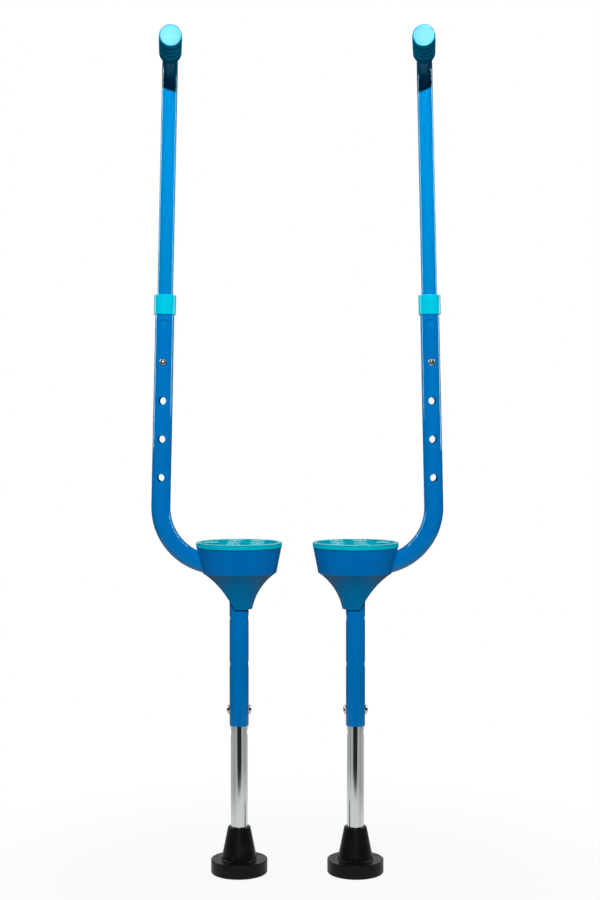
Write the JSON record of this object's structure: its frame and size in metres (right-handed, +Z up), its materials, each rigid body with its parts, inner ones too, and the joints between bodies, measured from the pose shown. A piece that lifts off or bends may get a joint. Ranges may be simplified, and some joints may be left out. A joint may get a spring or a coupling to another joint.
{
  "type": "pair of walking stilts",
  "caption": "Walking stilts with bent tubes, round funnel-shaped steps, telescoping handles held by spring buttons, and bolted telescoping legs on flared rubber feet.",
  "frame": {"origin": "on the floor, midway between the stilts and midway along the pair's depth", "axes": "+Z up along the legs, +X from the left stilt to the right one, -Y the way the handles point"},
  "size_m": [0.3808, 0.1846, 1.0724],
  "materials": {
    "blue_paint": "gloss enamel",
    "blue_plastic": "satin moulded",
    "turquoise_plastic": "satin moulded",
    "turquoise_grip": "soft ribbed",
    "chrome": "bright plated",
    "plain_steel": "zinc plated",
    "black_rubber": "matt moulded"
  },
  "bodies": {
    "left_stilt": {"left_main_tube": "blue_paint", "left_tube_collar": "turquoise_plastic", "left_step_cup": "blue_plastic", "left_step_tread": "turquoise_plastic", "left_step_screw": "plain_steel"},
    "left_handle": {"left_handle_tube": "blue_paint", "left_handle_grip": "turquoise_grip", "left_handle_clip": "plain_steel"},
    "left_handle_button_front": {"left_handle_button_front": "chrome"},
    "left_handle_button_back": {"left_handle_button_back": "chrome"},
    "left_leg": {"left_leg_tube": "chrome", "left_leg_bolt": "chrome", "left_leg_nut": "chrome", "left_foot": "black_rubber", "left_foot_washer": "plain_steel"},
    "right_stilt": {"right_main_tube": "blue_paint", "right_tube_collar": "turquoise_plastic", "right_step_cup": "blue_plastic", "right_step_tread": "turquoise_plastic", "right_step_screw": "plain_steel"},
    "right_handle": {"right_handle_tube": "blue_paint", "right_handle_grip": "turquoise_grip", "right_handle_clip": "plain_steel"},
    "right_handle_button_front": {"right_handle_button_front": "chrome"},
    "right_handle_button_back": {"right_handle_button_back": "chrome"},
    "right_leg": {"right_leg_tube": "chrome", "right_leg_bolt": "chrome", "right_leg_nut": "chrome", "right_foot": "black_rubber", "right_foot_washer": "plain_steel"}
  },
  "joints": [
    {"name": "left_handle_height", "type": "slide", "parent": "left_stilt", "child": "left_handle", "axis": [0.0227, 0, 0.9997], "range_m": [-0.15, 0.05], "deforming": ["left_handle_clip", "left_handle_button_front", "left_handle_button_back"]},
    {"name": "left_leg_height", "type": "slide", "parent": "left_stilt", "child": "left_leg", "axis": [0, 0, 1], "range_m": [0, 0.12], "deforming": ["left_leg_bolt", "left_leg_nut"]},
    {"name": "left_handle_button_front_press", "type": "slide", "parent": "left_handle", "child": "left_handle_button_front", "axis": [0, 1, 0], "range_m": [0, 0.0053], "stiffness_N_per_m": 800, "springref_m": -0.004},
    {"name": "left_handle_button_back_press", "type": "slide", "parent": "left_handle", "child": "left_handle_button_back", "axis": [0, -1, 0], "range_m": [0, 0.0053], "stiffness_N_per_m": 800, "springref_m": -0.004},
    {"name": "right_handle_height", "type": "slide", "parent": "right_stilt", "child": "right_handle", "axis": [-0.0227, 0, 0.9997], "range_m": [-0.15, 0.05], "deforming": ["right_handle_clip", "right_handle_button_front", "right_handle_button_back"]},
    {"name": "right_leg_height", "type": "slide", "parent": "right_stilt", "child": "right_leg", "axis": [0, 0, 1], "range_m": [0, 0.12], "deforming": ["right_leg_bolt", "right_leg_nut"]},
    {"name": "right_handle_button_front_press", "type": "slide", "parent": "right_handle", "child": "right_handle_button_front", "axis": [0, 1, 0], "range_m": [0, 0.0053], "stiffness_N_per_m": 800, "springref_m": -0.004},
    {"name": "right_handle_button_back_press", "type": "slide", "parent": "right_handle", "child": "right_handle_button_back", "axis": [0, -1, 0], "range_m": [0, 0.0053], "stiffness_N_per_m": 800, "springref_m": -0.004},
    {"name": "right_stilt_lift", "type": "slide", "parent": "left_stilt", "child": "right_stilt", "axis": [0, 0, 1], "range_m": [0, 0.2]}
  ]
}
